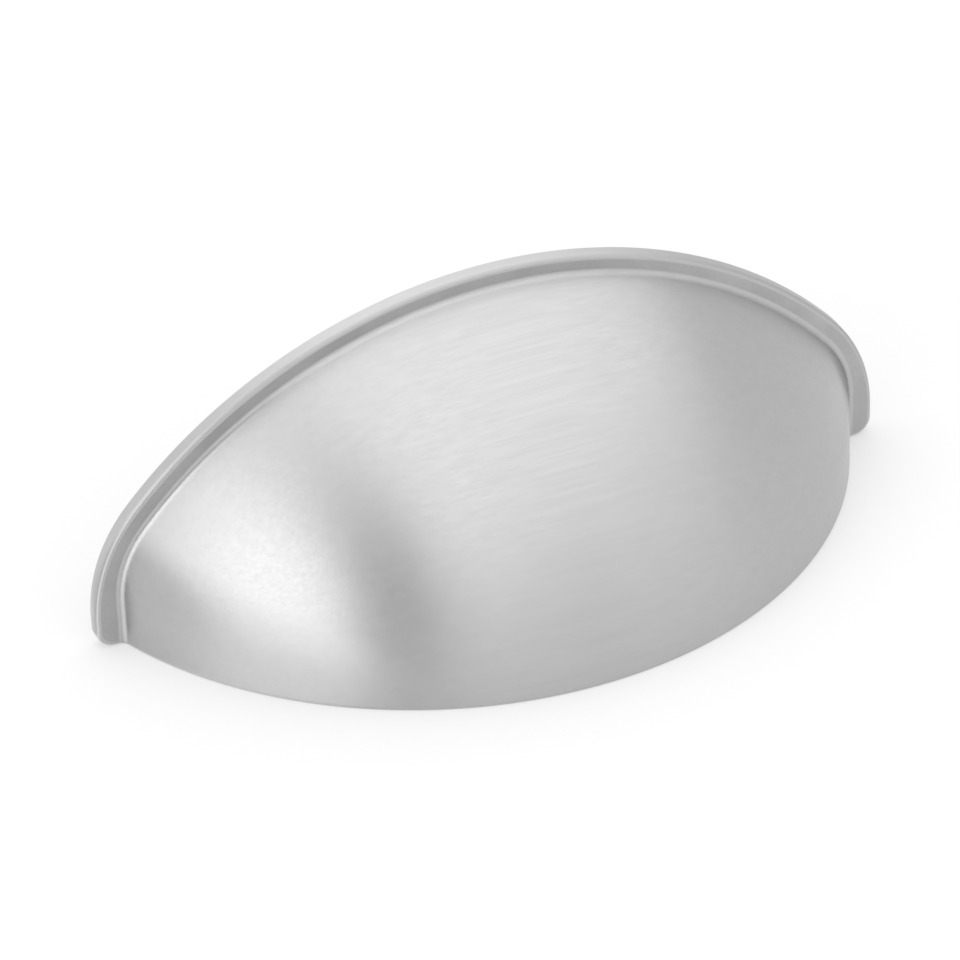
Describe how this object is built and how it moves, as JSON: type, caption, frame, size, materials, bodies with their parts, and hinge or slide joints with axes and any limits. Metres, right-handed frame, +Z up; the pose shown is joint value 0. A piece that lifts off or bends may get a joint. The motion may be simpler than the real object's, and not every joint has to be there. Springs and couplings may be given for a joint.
{
  "type": "cup handle",
  "caption": "Drawer cup handle: a quarter-dome cup open below for the fingers, with a flat rounded lip, fixed by screws from behind into tapped bosses.",
  "frame": {"origin": "midway between the two screw centres, on the plane of the drawer front", "axes": "+X along the width, to the right when looking at the drawer; +Y into the drawer front; +Z up"},
  "size_m": [0.09, 0.0302, 0.0334],
  "materials": {
    "nickel": "satin nickel plate, finely brushed along the width"
  },
  "bodies": {
    "root": {"cup_handle": "nickel"}
  },
  "joints": []
}
